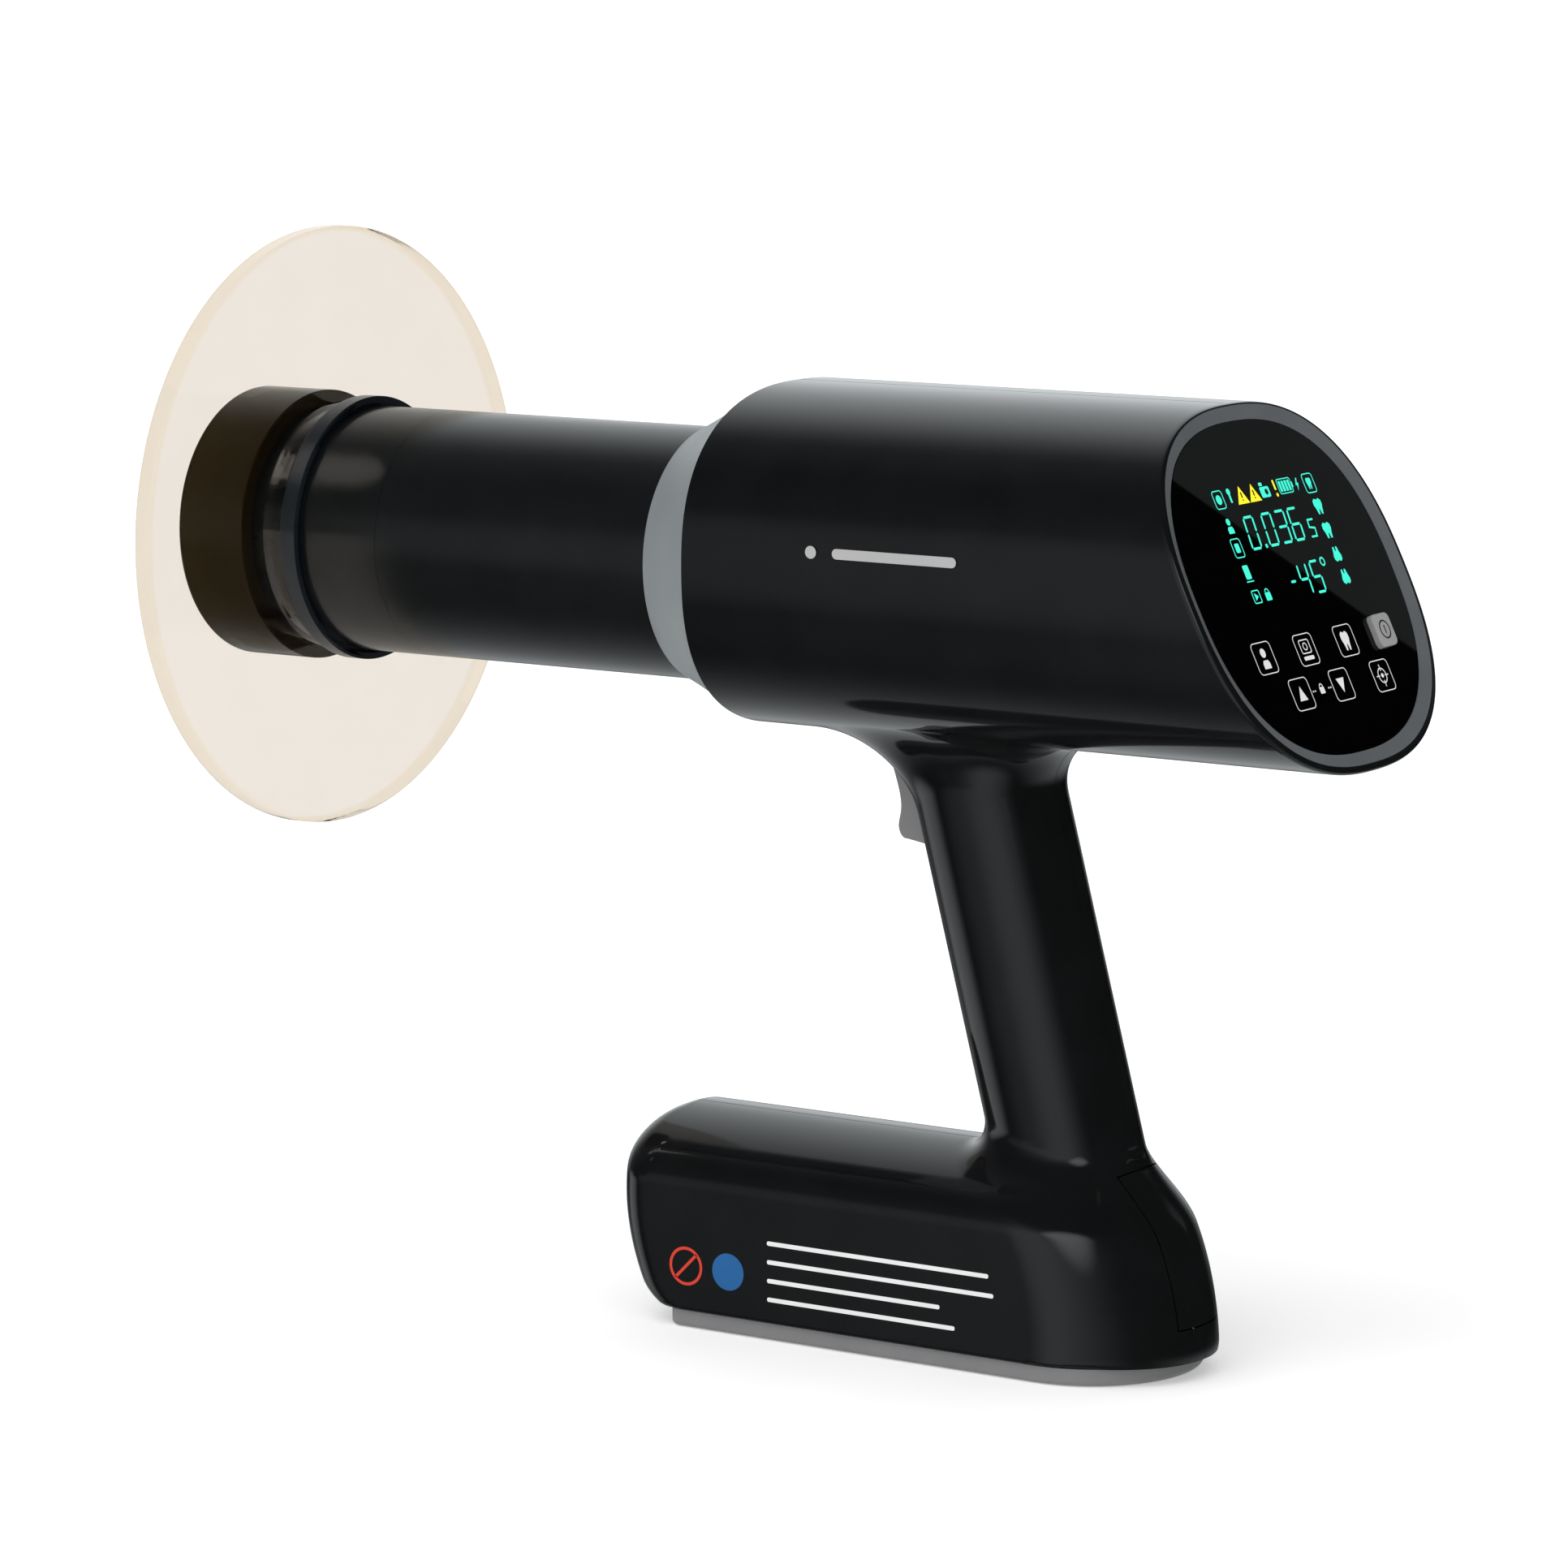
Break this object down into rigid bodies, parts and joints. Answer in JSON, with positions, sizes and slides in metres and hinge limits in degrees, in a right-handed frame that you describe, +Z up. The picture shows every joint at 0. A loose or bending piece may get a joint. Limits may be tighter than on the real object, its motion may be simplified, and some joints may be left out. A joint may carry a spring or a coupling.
{
  "type": "handheld dental x-ray unit",
  "caption": "Pistol-grip intraoral x-ray unit: oval body with sloping touch screen, round cone with a clear backscatter shield, trigger handle and battery base it stands on.",
  "frame": {"origin": "middle of the handle's foot line on the underside of the base plate, the face it stands on", "axes": "+Z up, -X along the beam out of the cone, +X towards the user and the screen, +Y to the right hand seen from behind; XZ is the plane of symmetry of the outer form"},
  "size_m": [0.3452, 0.162, 0.2805],
  "materials": {
    "housing_black": "glossy black moulded polycarbonate",
    "tube_black": "semi-gloss black moulded plastic",
    "ring_blue_black": "satin blue-black plastic",
    "trim_grey": "satin grey paint",
    "grey_plastic": "satin grey plastic",
    "shield_amber": "clear amber lead acrylic",
    "display_glass": "gloss black printed cover glass",
    "lcd": "dark display panel",
    "gasket": "black foam adhesive",
    "button": "gloss black with a lit mark",
    "switch_black": "matt black plastic",
    "switch_white": "white nylon",
    "board_green": "green solder mask",
    "steel": "bright zinc-plated steel",
    "head_aluminium": "cast and machined aluminium",
    "lead": "dull sheet lead",
    "clear_window": "clear polycarbonate",
    "tube_glass": "clear borosilicate glass",
    "copper": "machined copper",
    "nickel": "polished nickel",
    "core_iron": "dark ferrite",
    "cell_wrap": "blue shrink wrap",
    "cable_black": "black insulation",
    "ribbon": "amber polyimide ribbon"
  },
  "bodies": {
    "housing": {"left_housing": "housing_black", "right_housing": "housing_black", "cone_tube": "tube_black", "cone_front_sleeve": "tube_black", "front_trim_ring": "trim_grey", "base_plate": "grey_plastic", "display_glass": "display_glass", "lcd_module": "lcd", "screen_gasket": "gasket", "power_switch": "switch_black", "exposure_switch": "switch_black", "buzzer": "switch_black", "battery_holder": "switch_black", "charging_socket": "switch_black", "head_connector": "switch_black", "port_panel": "switch_black", "tube_holder": "switch_black", "board_standoffs": "switch_white", "display_board": "board_green", "control_board": "board_green", "battery_board": "board_green", "charging_board": "board_green", "multiplier_board": "board_green", "housing_screws": "steel", "base_plate_screws": "steel", "cone_screws": "steel", "end_cap_screws": "steel", "bracket_screws": "steel", "trigger_pin": "steel", "trigger_spring": "steel", "port_cover_pin": "steel", "battery_strips": "steel", "switch_bracket": "steel", "tube_head_casing": "head_aluminium", "tube_head_end_cap": "head_aluminium", "tube_head_brackets": "head_aluminium", "beam_filter": "head_aluminium", "cone_lead_liner": "lead", "lead_collimator": "lead", "tube_head_lead_lining": "lead", "beam_window": "clear_window", "xray_tube_glass": "tube_glass", "anode_block": "copper", "transformer_winding": "copper", "cathode_cup": "nickel", "transformer_core": "core_iron", "battery_cells": "cell_wrap", "battery_cable": "cable_black", "switch_cable": "cable_black", "display_cable": "ribbon"},
    "trigger": {"trigger": "grey_plastic"},
    "switch_plunger": {"exposure_switch_plunger": "switch_white"},
    "power_button": {"power_button": "button", "power_switch_plunger": "switch_white"},
    "port_cover": {"port_cover": "housing_black"},
    "shield": {"shield_disc": "shield_amber", "shield_collar": "ring_blue_black", "shield_lock_ring": "ring_blue_black", "shield_sleeve": "ring_blue_black"}
  },
  "joints": [
    {"name": "trigger_pull", "type": "hinge", "parent": "housing", "child": "trigger", "pos_m": [0.007, 0, 0.151], "axis": [0, -1, 0], "range_deg": [0, 7], "stiffness_Nm_per_rad": 0.9, "springref_deg": -11.46},
    {"name": "switch_press", "type": "slide", "parent": "housing", "child": "switch_plunger", "axis": [1, 0, 0], "range_m": [0, 0.0017]},
    {"name": "power_press", "type": "slide", "parent": "housing", "child": "power_button", "axis": [-0.9026, 0, -0.4305], "range_m": [0, 0.0006], "stiffness_N_per_m": 1500, "springref_m": -0.0004},
    {"name": "port_cover_hinge", "type": "hinge", "parent": "housing", "child": "port_cover", "pos_m": [0.0733, 0, 0.0208], "axis": [0, 1, 0], "range_deg": [0, 90]},
    {"name": "shield_slide", "type": "slide", "parent": "housing", "child": "shield", "axis": [-1, 0, 0], "range_m": [0, 0.03]}
  ],
  "couplings": [
    {"joint": "switch_press", "follows": "trigger_pull", "m_per_rad": 0.0132}
  ]
}
